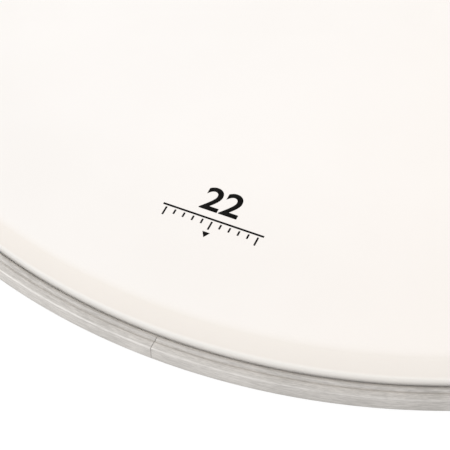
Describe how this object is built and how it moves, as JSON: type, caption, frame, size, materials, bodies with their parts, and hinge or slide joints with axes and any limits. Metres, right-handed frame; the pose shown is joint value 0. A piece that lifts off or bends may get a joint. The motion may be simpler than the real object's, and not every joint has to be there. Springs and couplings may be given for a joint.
{
  "type": "drum head",
  "caption": "Round drum head: a white formed film with a raised flat playing surface and a steep collar, locked in a rolled aluminium flesh hoop that drops over a drum shell.",
  "frame": {"origin": "centre of the flesh hoop's foot, on the drum's axis", "axes": "+Z along the drum's axis, up through the playing surface; the hoop's butt seam lies on -Y"},
  "size_m": [0.578, 0.578, 0.02],
  "materials": {
    "white_film": "white coated polyester film, fine matt surface",
    "satin_aluminium": "satin, fine lines along the rolled strip",
    "ring_aluminium": "drawn, unpolished"
  },
  "bodies": {
    "root": {"film": "white_film", "flesh_hoop": "satin_aluminium", "lock_ring": "ring_aluminium"}
  },
  "joints": []
}
